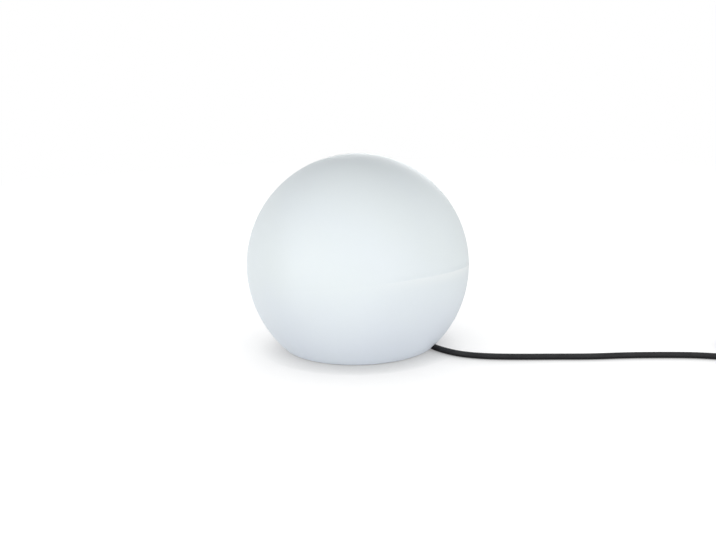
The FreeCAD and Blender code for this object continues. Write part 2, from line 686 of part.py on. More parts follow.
# ---------------------------------------------------------------- cord, coil and plug
def coil_point(step):
    """Centre-line point and tangent of the coil at a step: spirals in and out, layer by layer."""
    per_layer = COIL_STEPS_PER_LAYER
    total = COIL_LAYERS * per_layer
    sweep = radians(COIL_WHOLE_TURNS * 360.0 - COIL_START_DEG) / total
    angle = radians(COIL_START_DEG) + step * sweep
    layer, within = divmod(step, per_layer)
    if step == total:
        layer, within = COIL_LAYERS - 1, per_layer
    share = within / per_layer
    inwards = layer % 2 == 0
    span = COIL_OUTER_R - COIL_INNER_R
    radius = COIL_OUTER_R - span * share if inwards else COIL_INNER_R + span * share
    reverses = within == 0 or within == per_layer
    rate = 0.0 if reverses else (-span if inwards else span) / per_layer / sweep
    climbs = reverses and 0 < step < total
    level = layer - 0.5 if climbs else layer
    rise = COIL_LAYER_STEP * 0.75 / sweep if climbs else 0.0
    point = V(
        COIL_CENTRE[0] + radius * cos(angle),
        COIL_CENTRE[1] + radius * sin(angle),
        COIL_FIRST_Z + level * COIL_LAYER_STEP,
    )
    tangent = V(
        rate * cos(angle) - radius * sin(angle),
        rate * sin(angle) + radius * cos(angle),
        rise,
    ).normalize()
    return point, tangent


def biarc(start, start_dir, end, end_dir):
    """Two arcs that leave start and reach end along the given directions."""
    across = end - start
    both = start_dir + end_dir
    a = 2 * (1 - start_dir.dot(end_dir))
    b = across.dot(both)
    side = (sqrt(b * b + a * across.dot(across)) - b) / a
    first_corner = start + start_dir * side
    last_corner = end - end_dir * side
    joint = (first_corner + last_corner) * 0.5
    return [arc_between(start, first_corner, joint), arc_between(joint, last_corner, end)]


def coil_path():
    """The coil's centre line, with one straight diameter at each end."""
    total = COIL_LAYERS * COIL_STEPS_PER_LAYER
    stations = [coil_point(step) for step in range(total + 1)]
    first, first_dir = stations[0]
    last, last_dir = stations[-1]
    edges = [Part.LineSegment(first - first_dir * CORD_D, first).toShape()]
    for (start, start_dir), (end, end_dir) in zip(stations, stations[1:]):
        edges += biarc(start, start_dir, end, end_dir)
    edges.append(Part.LineSegment(last, last + last_dir * CORD_D).toShape())
    return Part.Wire(edges)


def least_gap(path, spacing=3.0, apart=30.0):
    """Smallest clear gap of a tube to itself, measured on points along its centre line."""
    points = path.discretize(Number=int(path.Length / spacing))
    skip = int(apart / spacing)
    least = 1e9
    for i, a in enumerate(points):
        for b in points[i + skip:]:
            least = min(least, (a - b).Length)
    return least - CORD_D


def cord_lead(coil_start):
    """The cord's free stretch on the surface, from the gland to the coil."""
    nose = turned(Part.Vertex(GLAND_END_S, GLAND_N, GLAND_Z)).Point
    out = turned(Part.Vertex(GLAND_END_S + CORD_STRAIGHT_OUT, GLAND_N, GLAND_Z)).Point
    before_coil = coil_start - coil_point(0)[1] * CORD_STRAIGHT_IN
    points = [nose, out] + [V(*p) for p in CORD_ROUTE] + [before_coil, coil_start]
    path, radii = rounded_route(points)
    print("cord_lead radii", [round(r) for r in radii])
    tube = swept(path, CORD_R)
    report_tube("cord_lead", path, CORD_R, tube)
    return tube, path.Length


def cord_tail(coil_end):
    """The cord from the coil's top down to the plug."""
    points = [coil_end] + [V(*p) for p in TAIL_ROUTE] + [V(PLUG_X, PLUG_Y - 11, PLUG_R), V(PLUG_X, PLUG_Y, PLUG_R)]
    path, radii = rounded_route(points)
    print("cord_tail radii", [round(r) for r in radii])
    tube = swept(path, CORD_R)
    report_tube("cord_tail", path, CORD_R, tube)
    return tube, path.Length


def coil_ties():
    """Two straps round the coil's winding, on opposite sides."""
    reach = CORD_R + 0.35
    low_z, high_z = 0.1, COIL_FIRST_Z + (COIL_LAYERS - 1) * COIL_LAYER_STEP + reach + 1.1
    r0, r1 = COIL_INNER_R - reach - 1.1, COIL_OUTER_R + reach + 1.1
    strap = box(r0, r1, -6.5, 6.5, low_z, high_z)
    strap = strap.makeFillet(3.0, [e for e in strap.Edges if abs(e.tangentAt(e.FirstParameter).y) > 0.9])
    strap = strap.cut(box(r0 + 1.1, r1 - 1.1, -8, 8, low_z + 1.1, high_z - 1.1))
    ties = at_quarters(strap, [150, 330])
    ties.translate(V(*COIL_CENTRE, 0))
    return ties


def along_plug(shape):
    """Lay a shape that was made upright along the plug's axis."""
    shape.rotate(ORIGIN, V(1, 0, 0), -90)
    shape.translate(V(PLUG_X, PLUG_Y, PLUG_R))
    return shape


def plug_sleeve():
    """The tapered, ringed strain relief behind the plug."""
    length = PLUG_SLEEVE_L
    sleeve = Part.makeCone(CORD_R + 1.0, 8.0, length)
    rings = []
    for i in range(5):
        z = 3.0 + 4.6 * i
        rings.append(ring(CORD_R + 1.0 + 3.0 * z / length - 0.6, 12.0, z, z + 1.6))
    return along_plug(sleeve.cut(Part.makeCompound(rings)))


def plug_body():
    """The rubber plug: a domed back, a waist with grips and a flat front."""
    z0, z1 = PLUG_SLEEVE_L, PLUG_SLEEVE_L + PLUG_BODY_L
    body = revolve_edges([
        line((0, z0), (9.0, z0)),
        arc((9.0, z0), (15.6, z0 + 3.2), (18.0, z0 + 10.0)),
        line((18.0, z0 + 10.0), (18.0, z0 + 24.0)),
        arc((18.0, z0 + 24.0), (18.5, z0 + 26.2), (PLUG_R, z0 + 28.0)),
        line((PLUG_R, z0 + 28.0), (PLUG_R, z1)),
        line((PLUG_R, z1), (0, z1)),
        line((0, z1), (0, z0)),
    ])
    grip = Part.makeCylinder(1.3, 12.0, V(18.6, 0, z0 + 11.0))
    body = body.cut(at_quarters(grip, range(10, 360, 20)))
    sockets = [rod(PIN_ROOT_R, z1 - PIN_ROOT_L, z1 + 1, x) for x in (-PIN_SPACING / 2, PIN_SPACING / 2)]
    notches = [box(-3.2, 3.2, y - 1.6, y + 1.6, z1 - 14, z1 + 1) for y in (-PLUG_R + 0.6, PLUG_R - 0.6)]
    return along_plug(body.cut(Part.makeCompound(sockets + notches)))


def plug_pins():
    """The two round pins, with rounded tips and thicker roots that end flush with the plug's face."""
    z1 = PLUG_SLEEVE_L + PLUG_BODY_L
    pins = []
    for x in (-PIN_SPACING / 2, PIN_SPACING / 2):
        pin = rod(PIN_R, z1, z1 + PIN_L, x)
        tip = [e for e in pin.Edges if e.BoundBox.ZMin > z1 + PIN_L - 0.1]
        pins.append(pin.makeFillet(1.6, tip).fuse(rod(PIN_ROOT_R, z1 - PIN_ROOT_L, z1, x)))
    return along_plug(Part.makeCompound(pins))


def plug_earth_strips():
    """The two side contacts in the plug's notches."""
    z1 = PLUG_SLEEVE_L + PLUG_BODY_L
    strips = [box(-2.6, 2.6, y - 0.4, y + 0.4, z1 - 14, z1 - 0.5) for y in (-PLUG_R + 1.8, PLUG_R - 1.8)]
    return along_plug(Part.makeCompound(strips))


# ---------------------------------------------------------------- the whole light
def main():
    """Build and export every sub-part."""
    os.makedirs("parts", exist_ok=True)
    coil = coil_path()
    coil_tube = swept(coil, CORD_R)
    report_tube("cord_coil", coil, CORD_R, coil_tube)
    print("coil: least gap to itself %.2f mm" % least_gap(coil))
    lead_tube, lead_length = cord_lead(coil.Edges[0].valueAt(coil.Edges[0].FirstParameter))
    tail_tube, tail_length = cord_tail(coil.Edges[-1].valueAt(coil.Edges[-1].LastParameter))
    print("cord outside the gland %.0f mm" % (lead_length + coil.Length + tail_length))

    parts = {
        "globe_shell": globe_shell(), "insert_nuts": insert_nuts(),
        "base_plate": base_plate(), "wiring_cover": wiring_cover(), "cover_seal": cover_seal(),
        "cover_screws": cover_screws(), "plate_gasket": plate_gasket(), "plate_screws": plate_screws(),
        "screw_washers": screw_washers(), "rubber_feet": rubber_feet(),
        "gland_washer": gland_washer(), "gland_body": gland_body(), "gland_seal": gland_seal(),
        "gland_nut": gland_nut(), "cord_inner": cord_inner(),
        "core_live": core(-1, WAYS[0]), "core_neutral": core(0, WAYS[1]), "core_earth": core(1, WAYS[2]),
        "lead_live": lead(210, WAYS[0]), "lead_neutral": lead(90, WAYS[1]), "lead_earth": lead(330, WAYS[2]),
        "terminal_block": terminal_block(), "terminal_clamps": terminal_clamps(),
        "terminal_screws": terminal_screws(),
        "lampholder_bracket": lampholder_bracket(), "bracket_screws": bracket_screws(),
        "nipple": nipple(), "nipple_nut": nipple_nut(), "lampholder_cap": lampholder_cap(),
        "lampholder_skirt": lampholder_skirt(), "lampholder_insert": lampholder_insert(),
        "screw_shell": screw_shell(), "centre_contact": centre_contact(),
        "bulb_contact": bulb_contact(), "bulb_insulator": bulb_insulator(),
        "bulb_screw_cap": bulb_screw_cap(), "bulb_housing": bulb_housing(),
        "bulb_diffuser": bulb_diffuser(), "led_board": led_board(), "led_chips": led_chips(),
        "driver_board": driver_board(),
        "cord_lead": lead_tube, "cord_coil": coil_tube, "cord_tail": tail_tube, "coil_ties": coil_ties(),
        "plug_sleeve": plug_sleeve(), "plug_body": plug_body(), "plug_pins": plug_pins(),
        "plug_earth_strips": plug_earth_strips(),
    }
    for name, shape in parts.items():
        export(name, shape)


main()
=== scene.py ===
"""Looks of the garden globe light: a frosted ball on a flat foot, with a black rubber cord."""
import json
import logging
from dataclasses import dataclass, field
from enum import Enum
from math import asin, cos, degrees, pi, radians, sin, sqrt
from typing import Any, Optional, Union

import bmesh
import bpy
from mathutils import Matrix, Vector


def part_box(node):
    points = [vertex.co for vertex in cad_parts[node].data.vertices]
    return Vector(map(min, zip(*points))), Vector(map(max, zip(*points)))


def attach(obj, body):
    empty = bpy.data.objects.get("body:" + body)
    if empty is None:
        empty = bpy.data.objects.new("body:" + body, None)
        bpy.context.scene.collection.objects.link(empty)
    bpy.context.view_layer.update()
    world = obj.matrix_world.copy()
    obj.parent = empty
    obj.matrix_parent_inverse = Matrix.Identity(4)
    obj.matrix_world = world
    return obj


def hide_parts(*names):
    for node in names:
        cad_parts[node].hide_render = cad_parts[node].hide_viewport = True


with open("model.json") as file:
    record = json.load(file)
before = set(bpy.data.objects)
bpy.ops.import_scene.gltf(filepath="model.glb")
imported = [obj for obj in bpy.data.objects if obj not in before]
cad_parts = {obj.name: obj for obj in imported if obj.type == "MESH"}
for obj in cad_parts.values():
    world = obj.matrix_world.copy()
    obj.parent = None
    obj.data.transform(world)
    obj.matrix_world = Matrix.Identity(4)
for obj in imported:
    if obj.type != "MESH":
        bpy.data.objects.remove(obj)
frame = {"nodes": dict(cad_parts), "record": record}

logging.basicConfig(level=logging.INFO, format="%(levelname)s %(message)s")
log = logging.getLogger("garden_globe_light")

Colour = tuple[float, float, float]

IMAGE_WIDTH_PX = 716
MM = 0.001
BASE_TURN = radians(-35.0)   # the base is turned so that its gland looks at the cord's groove
POLE = radians(89.99)        # beyond this an arc's point lies on the axis
WHITE = (1.0, 1.0, 1.0, 1.0)

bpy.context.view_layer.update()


# ---------------------------------------------------------------- node work
class Wire:
    """One output socket, or a plain number, that can be used in Python sums."""

    def __init__(self, nodes: "NodeWork", socket: Any) -> None:
        """Keep the node tree and the socket or number that this wire stands for."""
        self.nodes = nodes
        self.socket = socket

    def _maths(self, operation: str, *others: Any) -> "Wire":
        """Add one Math node of this wire and the others."""
        values = [self.socket] + [o.socket if isinstance(o, Wire) else o for o in others]
        return self.nodes.add("ShaderNodeMath", {"operation": operation}, dict(enumerate(values)))

    def __add__(self, other: Any) -> "Wire":
        """Sum."""
        return self._maths("ADD", other)

    __radd__ = __add__

    def __sub__(self, other: Any) -> "Wire":
        """Difference."""
        return self._maths("SUBTRACT", other)

    def __rsub__(self, other: Any) -> "Wire":
        """A number less this wire."""
        return Wire(self.nodes, other)._maths("SUBTRACT", self)

    def __mul__(self, other: Any) -> "Wire":
        """Product."""
        return self._maths("MULTIPLY", other)

    __rmul__ = __mul__

    def __pow__(self, other: Any) -> "Wire":
        """Power."""
        return self._maths("POWER", other)

    def sine(self) -> "Wire":
        """Sine of the value in radians."""
        return self._maths("SINE")

    def clamped(self, low: float, high: float) -> "Wire":
        """The value mapped from low..high to 0..1 and clamped."""
        sockets = {"Value": self.socket, "From Min": low, "From Max": high}
        return self.nodes.add("ShaderNodeMapRange", {"clamp": True}, sockets, "Result")


class NodeWork:
    """Builds one material's node tree."""

    def __init__(self, name: str) -> None:
        """Start an empty material of that name.

        Args:
            name: The material's name.
        """
        self.material = bpy.data.materials.new(name)
        self.material.use_nodes = True
        self.tree = self.material.node_tree
        self.tree.nodes.clear()

    def add(self, kind: str, settings: dict[str, Any], sockets: dict[Any, Any],
            output: Union[int, str] = 0) -> Wire:
        """Make one node, apply its settings, then fill or link its inputs.

        Args:
            kind: The node's type.
            settings: Its attributes.
            sockets: Values or links for its inputs, by name or place.
            output: Which output the wire returned stands for.

        Returns:
            The wire of that output.
        """
        node = self.tree.nodes.new(kind)
        for key, value in settings.items():
            setattr(node, key, value)
        for key, value in sockets.items():
            source = value.socket if isinstance(value, Wire) else value
            if isinstance(source, bpy.types.NodeSocket):
                self.tree.links.new(source, node.inputs[key])
            else:
                node.inputs[key].default_value = source
        return Wire(self, node.outputs[output])

    def place(self) -> Wire:
        """The point on the piece in its own coordinates, in metres."""
        return self.add("ShaderNodeTexCoord", {}, {}, "Object")

    def stretched(self, vector: Wire, scale: Colour) -> Wire:
        """A vector scaled by a Mapping node."""
        return self.add("ShaderNodeMapping", {}, {"Vector": vector, "Scale": scale})

    def axis(self, vector: Wire, name: str) -> Wire:
        """One component of a vector."""
        return self.add("ShaderNodeSeparateXYZ", {}, {"Vector": vector}, name)

    def noise(self, vector: Wire, scale: float, detail: float = 2.0) -> Wire:
        """Soft noise from 0 to 1, with scale features per metre."""
        return self.add("ShaderNodeTexNoise", {}, {"Vector": vector, "Scale": scale, "Detail": detail})

    def blend(self, factor: Any, first: Colour, second: Colour) -> Wire:
        """A colour between two, by a factor."""
        sockets = {"Factor": factor, "A": (*first, 1.0), "B": (*second, 1.0)}
        return self.mixed(sockets)

    def mixed(self, sockets: dict[str, Any]) -> Wire:
        """A Mix node on colours, whose A and B may be links."""
        node = self.tree.nodes.new("ShaderNodeMix")
        node.data_type = "RGBA"
        places = {"Factor": 0, "A": 6, "B": 7}
        for key, value in sockets.items():
            source = value.socket if isinstance(value, Wire) else value
            if isinstance(source, bpy.types.NodeSocket):
                self.tree.links.new(source, node.inputs[places[key]])
            else:
                node.inputs[places[key]].default_value = source
        return Wire(self, node.outputs[2])

    def bump(self, height: Wire, depth: float, after: Optional[Wire] = None) -> Wire:
        """A normal from a height of 0 to 1 that stands for a depth in metres."""
        sockets = {"Height": height, "Distance": depth, "Strength": 1.0}
        if after is not None:
            sockets["Normal"] = after
        return self.add("ShaderNodeBump", {}, sockets)

    def surface(self, sockets: dict[str, Any]) -> bpy.types.Material:
        """Close the tree with one Principled surface.

        Args:
            sockets: Values or links for the shader's inputs.

        Returns:
            The finished material.
        """
        shader = self.add("ShaderNodeBsdfPrincipled", {}, sockets)
        return self.output(shader)

    def output(self, shader: Wire) -> bpy.types.Material:
        """Link a shader to the material's output."""
        closing = self.tree.nodes.new("ShaderNodeOutputMaterial")
        self.tree.links.new(shader.socket, closing.inputs["Surface"])
        return self.material


# ---------------------------------------------------------------- the ball's mould
def ball_centre() -> Vector:
    """The ball's centre, read from the CAD shell's box."""
    low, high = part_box("globe_shell")
    return Vector((0.0, 0.0, high.z - (high.x - low.x) / 2))


@dataclass
class MouldLine:
    """The tilted plane where the two halves of the ball's mould met."""

    centre: Vector
    drop: float = 13.7 * MM
    normal: Vector = field(default_factory=lambda: Vector((-0.0806, 0.1362, 0.9874)).normalized())

    def __post_init__(self) -> None:
        """Find the plane's point nearest the ball's centre."""
        self.point = self.centre - self.normal * self.drop

    def height(self, place: Vector) -> float:
        """How far a place is above the plane, in metres."""
        return (place - self.point).dot(self.normal)


# ---------------------------------------------------------------- finishes
@dataclass(frozen=True)
class FrostedBall:
    """Bluish white polythene of the ball: satin and clouded, with painted cool shade low down and painted light and
    shade at the mould line.
    """

    name: str = "frosted_polythene"
    centre: Vector = field(default_factory=lambda: ball_centre())
    pale: Colour = (0.850, 0.905, 0.917)
    # Bluer, slightly darker colour: random cloudy tone, and painted cool shade on the lower part of the ball.
    cool: Colour = (0.838, 0.888, 0.966)
    cool_below: tuple[float, float] = (0.030, 0.115)
    # Painted highlight colour, for the band just under the mould's line.
    dressed: Colour = (0.925, 0.962, 0.970)
    # Painted shade colour, for the band just above the mould's line.
    shade: Colour = (0.790, 0.848, 0.868)
    grain_scale: float = 900.0
    peel_scale: float = 160.0
    worn_scale: float = 28.0
    cloud_scale: float = 9.0
    grain_depth: float = 0.03 * MM
    peel_depth: float = 0.05 * MM
    seam_waver: float = 0.6 * MM
    seam_reach: float = 16.0 * MM
    seam_east: tuple[float, float] = (0.02, 0.11)
    specular: float = 0.22
    scatter: float = 4.0 * MM

    def build(self) -> bpy.types.Material:
        """Make the material."""
        n = NodeWork(self.name)
        place = n.place()
        cloud = n.noise(place, self.cloud_scale, 3.0)
        grain = n.noise(place, self.grain_scale, 2.0)
        peel = n.noise(place, self.peel_scale, 1.0)
        # Painted cool shade on the lower part of the ball, full below 30 mm and gone by 115 mm, with random cloudy
        # tone mixed in.
        low = 1.0 - n.axis(place, "Z").clamped(*self.cool_below)
        plain = n.blend(low * 0.70 + cloud.clamped(0.35, 0.65) * 0.22, self.pale, self.cool)
        seam = MouldLine(self.centre)
        along = n.add("ShaderNodeVectorMath", {"operation": "DOT_PRODUCT"}, {0: place, 1: seam.normal}, "Value")
        height = along - seam.point.dot(seam.normal) + (peel - 0.5) * self.seam_waver
        # Painted highlight in a band under the mould's line and painted shade in a narrow band above it, mostly on
        # the +X side, in random patches.
        below = height.clamped(-self.seam_reach, -0.2 * MM) * (1.0 - height.clamped(-0.2 * MM, 0.6 * MM))
        above = height.clamped(0.2 * MM, 0.9 * MM) * (1.0 - height.clamped(1.5 * MM, 7.0 * MM))
        east = n.axis(place, "X").clamped(*self.seam_east)
        seam_patches = n.noise(place, self.worn_scale, 2.0).clamped(0.30, 0.62)
        paler = n.mixed({"Factor": below ** 1.7 * (0.06 + 0.94 * east) * (0.60 + 0.40 * seam_patches), "A": plain,
                         "B": (*self.dressed, 1.0)})
        colour = n.mixed({"Factor": above * (0.04 + 0.56 * east) * seam_patches, "A": paler, "B": (*self.shade, 1.0)})
        rough = 0.46 + cloud * 0.06 + grain * 0.03
        normal = n.bump(peel, self.peel_depth, n.bump(grain, self.grain_depth))
        return n.surface({
            "Base Color": colour, "Roughness": rough, "Normal": normal, "IOR": 1.50,
            "Specular IOR Level": self.specular, "Subsurface Weight": 0.10,
            "Subsurface Scale": self.scatter, "Subsurface Radius": (1.0, 1.0, 1.0),
        })


@dataclass(frozen=True)
class Rubber:
    """Black rubber of the cord, plug, seals and feet: dark low down, lighter higher up with patchy dust and painted
    light on the top.
    """

    name: str
    dark: Colour = (0.006, 0.006, 0.007)
    # Lighter colour of the upper side: dust, and painted light on the top.
    dusty: Colour = (0.044, 0.044, 0.046)
    roughness: float = 0.50
    specular: float = 0.16
    dust_scale: float = 60.0
    grain_scale: float = 1400.0
    grain_depth: float = 0.04 * MM
    top: tuple[float, float] = (2.5 * MM, 8.0 * MM)

    def build(self) -> bpy.types.Material:
        """Make the material."""
        n = NodeWork(self.name)
        place = n.place()
        dust = n.noise(place, self.dust_scale, 4.0)
        grain = n.noise(place, self.grain_scale, 2.0)
        # Dust and painted light on the top: lighter from 2.5 mm above the floor and fully so from 8 mm, partly patchy
        # with the dust noise.
        dust_and_lit_top = n.axis(place, "Z").clamped(*self.top)
        colour = n.blend(dust_and_lit_top * (0.55 + 0.45 * dust.clamped(0.35, 0.70)), self.dark, self.dusty)
        rough = self.roughness + dust * 0.14
        return n.surface({
            "Base Color": colour, "Roughness": rough, "Normal": n.bump(grain, self.grain_depth), "IOR": 1.52,
            "Specular IOR Level": self.specular,
        })


@dataclass(frozen=True)
class Moulding:
    """Moulded hard plastic with fine grain and slight unevenness."""

    name: str
    colour: Colour
    shade: float = 0.90
    roughness: float = 0.40
    grain_scale: float = 1800.0
    grain_depth: float = 0.02 * MM
    cloud_scale: float = 45.0

    def build(self) -> bpy.types.Material:
        """Make the material."""
        n = NodeWork(self.name)
        place = n.place()
        cloud = n.noise(place, self.cloud_scale, 3.0)
        grain = n.noise(place, self.grain_scale, 1.0)
        darker = tuple(self.shade * part for part in self.colour)
        colour = n.blend(cloud.clamped(0.35, 0.70), self.colour, darker)
        rough = self.roughness + cloud * 0.08
        return n.surface({
            "Base Color": colour, "Roughness": rough, "Normal": n.bump(grain, self.grain_depth), "IOR": 1.49,
        })


@dataclass(frozen=True)
class Metal:
    """Plain or plated metal with fine drawn lines."""

    name: str
    colour: Colour
    roughness: float = 0.32
    lines: Colour = (300.0, 300.0, 6000.0)
    line_depth: float = 0.01 * MM
    cloud_scale: float = 120.0
    tarnish: float = 0.82

    def build(self) -> bpy.types.Material:
        """Make the material."""
        n = NodeWork(self.name)
        place = n.place()
        drawn = n.noise(n.stretched(place, self.lines), 1.0, 2.0)
        cloud = n.noise(place, self.cloud_scale, 3.0)
        duller = tuple(self.tarnish * part for part in self.colour)
        colour = n.blend(cloud.clamped(0.40, 0.75), self.colour, duller)
        rough = self.roughness + drawn * 0.12 + cloud * 0.06
        return n.surface({
            "Base Color": colour, "Roughness": rough, "Metallic": 1.0, "Normal": n.bump(drawn, self.line_depth),
        })


@dataclass(frozen=True)
class Webbing:
    """Woven strap of the coil's ties, with its rows of loops."""

    name: str = "tie_webbing"
    thread: Colour = (0.020, 0.020, 0.022)
    gap: Colour = (0.006, 0.006, 0.007)
    rows_per_metre: float = 1500.0
    fuzz_scale: float = 2500.0
    weave_depth: float = 0.1 * MM

    def build(self) -> bpy.types.Material:
        """Make the material."""
        n = NodeWork(self.name)
        place = n.place()
        wave = 2.0 * pi * self.rows_per_metre
        across = (n.axis(place, "X") * wave).sine()
        along = (n.axis(place, "Z") * wave).sine()
        side = (n.axis(place, "Y") * wave).sine()
        weave = across * along * 0.25 + side * 0.25 + 0.5
        fuzz = n.noise(place, self.fuzz_scale, 3.0)
        colour = n.blend(weave.clamped(0.2, 0.8), self.gap, self.thread)
        return n.surface({
            "Base Color": colour, "Roughness": 0.85, "Normal": n.bump(weave * 0.7 + fuzz * 0.3, self.weave_depth),
            "Sheen Weight": 0.25, "Sheen Roughness": 0.6,
        })


@dataclass(frozen=True)
class CircuitBoard:
    """Lacquered board with faint copper tracks."""

    name: str
    lacquer: Colour
    track: Colour
    tracks_per_metre: float = 260.0
    warp_scale: float = 90.0
    track_depth: float = 0.03 * MM

    def build(self) -> bpy.types.Material:
        """Make the material."""
        n = NodeWork(self.name)
        place = n.place()
        warped = n.noise(place, self.warp_scale, 1.0)
        wave = (n.axis(place, "Z") + n.axis(place, "X")) * (2.0 * pi * self.tracks_per_metre)
        stripes = (wave + warped * 9.0).sine()
        colour = n.blend(stripes.clamped(0.55, 0.75), self.lacquer, self.track)
        return n.surface({
            "Base Color": colour, "Roughness": 0.35, "Normal": n.bump(stripes.clamped(0.5, 0.8), self.track_depth),
        })


class Slot(Enum):
    """The record's material slots and the finish of each."""

    opal_globe = FrostedBall()
    brass = Metal("turned_brass", (0.72, 0.50, 0.20), 0.28)
    white_moulding = Moulding("white_moulding", (0.70, 0.72, 0.73), 0.93, 0.42)
    seal_rubber = Rubber("seal_rubber", roughness=0.62)
    stainless = Metal("stainless_steel", (0.60, 0.61, 0.62), 0.26)
    gland_plastic = Moulding("gland_nylon", (0.018, 0.018, 0.020), 0.8, 0.38)
    cord_rubber = Rubber("cord_rubber")
    core_brown = Moulding("core_brown", (0.130, 0.050, 0.020), 0.85, 0.36)
    core_blue = Moulding("core_blue", (0.020, 0.090, 0.420), 0.85, 0.36)
    core_green = Moulding("core_green_yellow", (0.180, 0.420, 0.040), 0.85, 0.36)
    terminal_plastic = Moulding("terminal_polyamide", (0.66, 0.65, 0.60), 0.92, 0.45)
    zinc_steel = Metal("zinc_plated_steel", (0.56, 0.58, 0.62), 0.34)
    holder_plastic = Moulding("lampholder_phenolic", (0.016, 0.016, 0.017), 0.8, 0.28)
    ceramic = Moulding("lampholder_ceramic", (0.74, 0.72, 0.67), 0.92, 0.50, 700.0, 0.05 * MM)
    solder = Metal("solder", (0.60, 0.60, 0.62), 0.42)
    cap_insulator = Moulding("cap_glass", (0.012, 0.012, 0.016), 0.8, 0.15)
    bulb_cap_metal = Metal("bulb_cap_aluminium", (0.70, 0.70, 0.71), 0.30)
    bulb_plastic = Moulding("bulb_housing_white", (0.76, 0.77, 0.77), 0.95, 0.30)
    bulb_opal = Moulding("bulb_opal_dome", (0.82, 0.83, 0.83), 0.96, 0.48)
    board_aluminium = CircuitBoard("led_board_white", (0.72, 0.72, 0.70), (0.62, 0.62, 0.60))
    led_yellow = Moulding("led_phosphor", (0.78, 0.60, 0.10), 0.9, 0.20)
    board_green = CircuitBoard("driver_board_green", (0.020, 0.110, 0.045), (0.050, 0.200, 0.080))
    tie_plastic = Webbing()
    plug_rubber = Rubber("plug_rubber", roughness=0.50)
    nickel_brass = Metal("nickel_plating", (0.68, 0.66, 0.61), 0.18)


class Wardrobe:
    """Makes each slot's material once and dresses pieces in it."""

    def __init__(self) -> None:
        """Start with nothing made."""
        self.made: dict[str, bpy.types.Material] = {}

    def material(self, slot_name: str) -> bpy.types.Material:
        """The material of a slot, made on first use."""
        if slot_name not in self.made:
            self.made[slot_name] = Slot[slot_name].value.build()
        return self.made[slot_name]

    def dress(self, piece: bpy.types.Object, slot_name: str) -> None:
        """Put a slot's material on a piece in place of what it has."""
        piece.data.materials.clear()
        piece.data.materials.append(self.material(slot_name))

    def dress_nodes(self, record: dict[str, Any]) -> None:
        """Dress every carried-over CAD node by its slot in the record."""
        for subpart in record["subparts"]:
            self.dress(frame["nodes"][subpart["node"]], subpart["material_slot"])


# ---------------------------------------------------------------- mesh helpers
def finished_mesh(name: str, form: bmesh.types.BMesh, sharp_degrees: float = 35.0) -> bpy.types.Object:
    """Turn a bmesh into a smooth-shaded object at the origin.

    Args:
        name: The piece's name.
        form: The bmesh, which is freed.
        sharp_degrees: Edges that turn more than this stay sharp.

    Returns:
        The new object, linked to the scene.
    """
    mesh = bpy.data.meshes.new(name)
    form.to_mesh(mesh)
    form.free()
    mesh.shade_smooth()
    mesh.set_sharp_from_angle(angle=radians(sharp_degrees))
    piece = bpy.data.objects.new(name, mesh)
    bpy.context.scene.collection.objects.link(piece)
    return piece


def spun(outline: list[tuple[float, float]], segments: int) -> bmesh.types.BMesh:
    """Spin a closed (radius, height) outline round the Z axis.

    Args:
        outline: Points in order; those on the axis have radius 0.
        segments: Steps of the full turn.

    Returns:
        A closed bmesh with outward normals.
    """
    form = bmesh.new()
    verts = [form.verts.new((radius, 0.0, height)) for radius, height in outline]
    edges = [form.edges.new(pair) for pair in zip(verts, verts[1:] + verts[:1])
             if not (pair[0].co.x == 0.0 and pair[1].co.x == 0.0)]
    bmesh.ops.spin(form, geom=verts + edges, cent=(0, 0, 0), axis=(0, 0, 1), angle=2 * pi,
                   steps=segments, use_merge=True, use_duplicate=False)
    bmesh.ops.remove_doubles(form, verts=form.verts, dist=1e-6)
    bmesh.ops.recalc_face_normals(form, faces=form.faces)
    return form


def swung(height: float, radius: float, start: float, end: float, steps: int) -> list[tuple[float, float]]:
    """Points of an arc about the axis in the (radius, height) plane, from start to end degrees."""
    points = []
    for i in range(steps + 1):
        angle = radians(start + (end - start) * i / steps)
        reach = 0.0 if abs(angle) > POLE else radius * cos(angle)
        points.append((reach, height + radius * sin(angle)))
    return points


def along_stations(place: float, stations: list[tuple[float, float]]) -> float:
    """The value at a place on straight runs between (place, value) stations, which fall in place."""
    if place >= stations[0][0]:
        return stations[0][1]
    for (high, at_high), (low, at_low) in zip(stations, stations[1:]):
        if place >= low:
            share = (high - place) / (high - low)
            return at_high + (at_low - at_high) * share
    return stations[-1][1]


def post(radius: float, low: float, high: float, x: float = 0.0, y: float = 0.0,
         segments: int = 64) -> bmesh.types.BMesh:
    """An upright closed cylinder between two heights."""
    form = bmesh.new()
    bmesh.ops.create_cone(form, cap_ends=True, segments=segments, radius1=radius, radius2=radius, depth=high - low)
    bmesh.ops.translate(form, verts=form.verts, vec=(x, y, (low + high) / 2))
    return form


def posts(radius: float, low: float, high: float, pitch: float) -> bmesh.types.BMesh:
    """Four upright cylinders on the base's quarter lines."""
    form = bmesh.new()
    for quarter in range(4):
        angle = BASE_TURN + quarter * pi / 2
        one = bmesh.ops.create_cone(form, cap_ends=True, segments=48, radius1=radius, radius2=radius,
                                    depth=high - low)
        bmesh.ops.translate(form, verts=one["verts"], vec=(pitch * cos(angle), pitch * sin(angle), (low + high) / 2))
    return form


def carve(piece: bpy.types.Object, tool_form: bmesh.types.BMesh, operation: str) -> None:
    """Join, cut or keep the common part of a piece and a tool shape, and keep the result as its mesh.

    Args:
        piece: The piece to change.
        tool_form: The other shape, which is freed.
        operation: UNION, DIFFERENCE or INTERSECT.
    """
    tool = finished_mesh("tool", tool_form)
    cut = piece.modifiers.new("carve", "BOOLEAN")
    cut.operation = operation
    cut.object = tool
    cut.solver = "EXACT"
    bpy.context.view_layer.update()
    ready = piece.evaluated_get(bpy.context.evaluated_depsgraph_get())
    mesh = bpy.data.meshes.new_from_object(ready)
    piece.modifiers.remove(cut)
    piece.data = mesh
    piece.data.name = piece.name
    bpy.data.objects.remove(tool)


